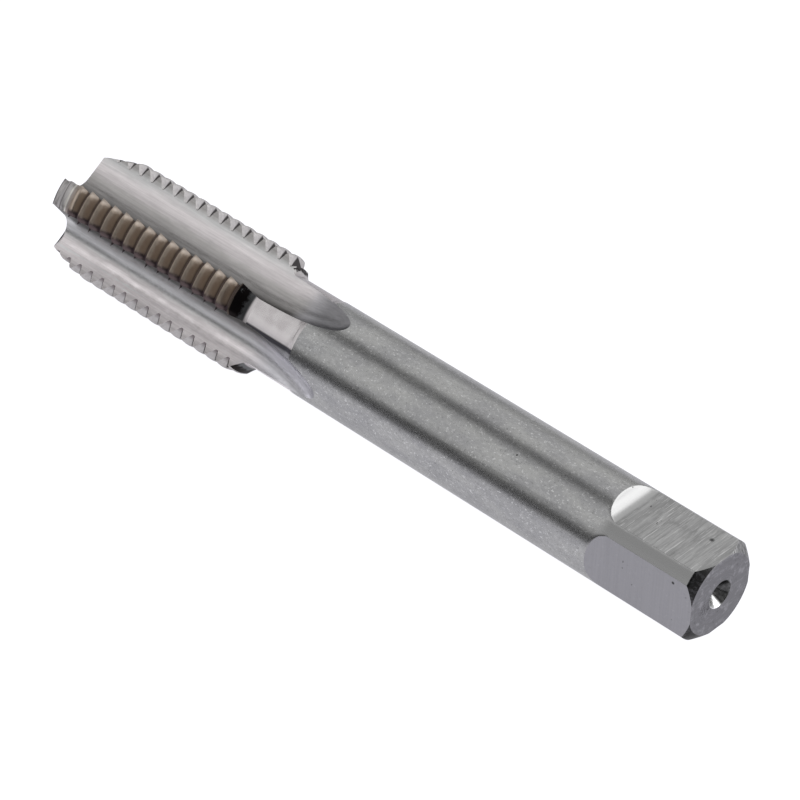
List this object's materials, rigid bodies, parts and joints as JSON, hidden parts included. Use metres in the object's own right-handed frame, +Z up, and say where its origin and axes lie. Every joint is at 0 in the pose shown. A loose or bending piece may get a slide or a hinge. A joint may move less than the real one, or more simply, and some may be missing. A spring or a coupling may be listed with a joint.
{
  "type": "thread tap",
  "caption": "Straight-fluted hand tap for cutting an internal thread, with a short relieved lead, a ground round shank and a square drive end.",
  "frame": {"origin": "centre of the bounding box, on the surface that the tap lies on", "axes": "+X along the tap towards the square drive end, +Z up; the tool axis is tipped 0.75 degrees about Y, tip end up, because the thread crests stand prouder than the shank"},
  "size_m": [0.1022, 0.014, 0.0143],
  "materials": {
    "tool_steel": "ground and polished high-speed steel, fine oil film and grinding marks"
  },
  "bodies": {
    "root": {"tap": "tool_steel"}
  },
  "joints": []
}
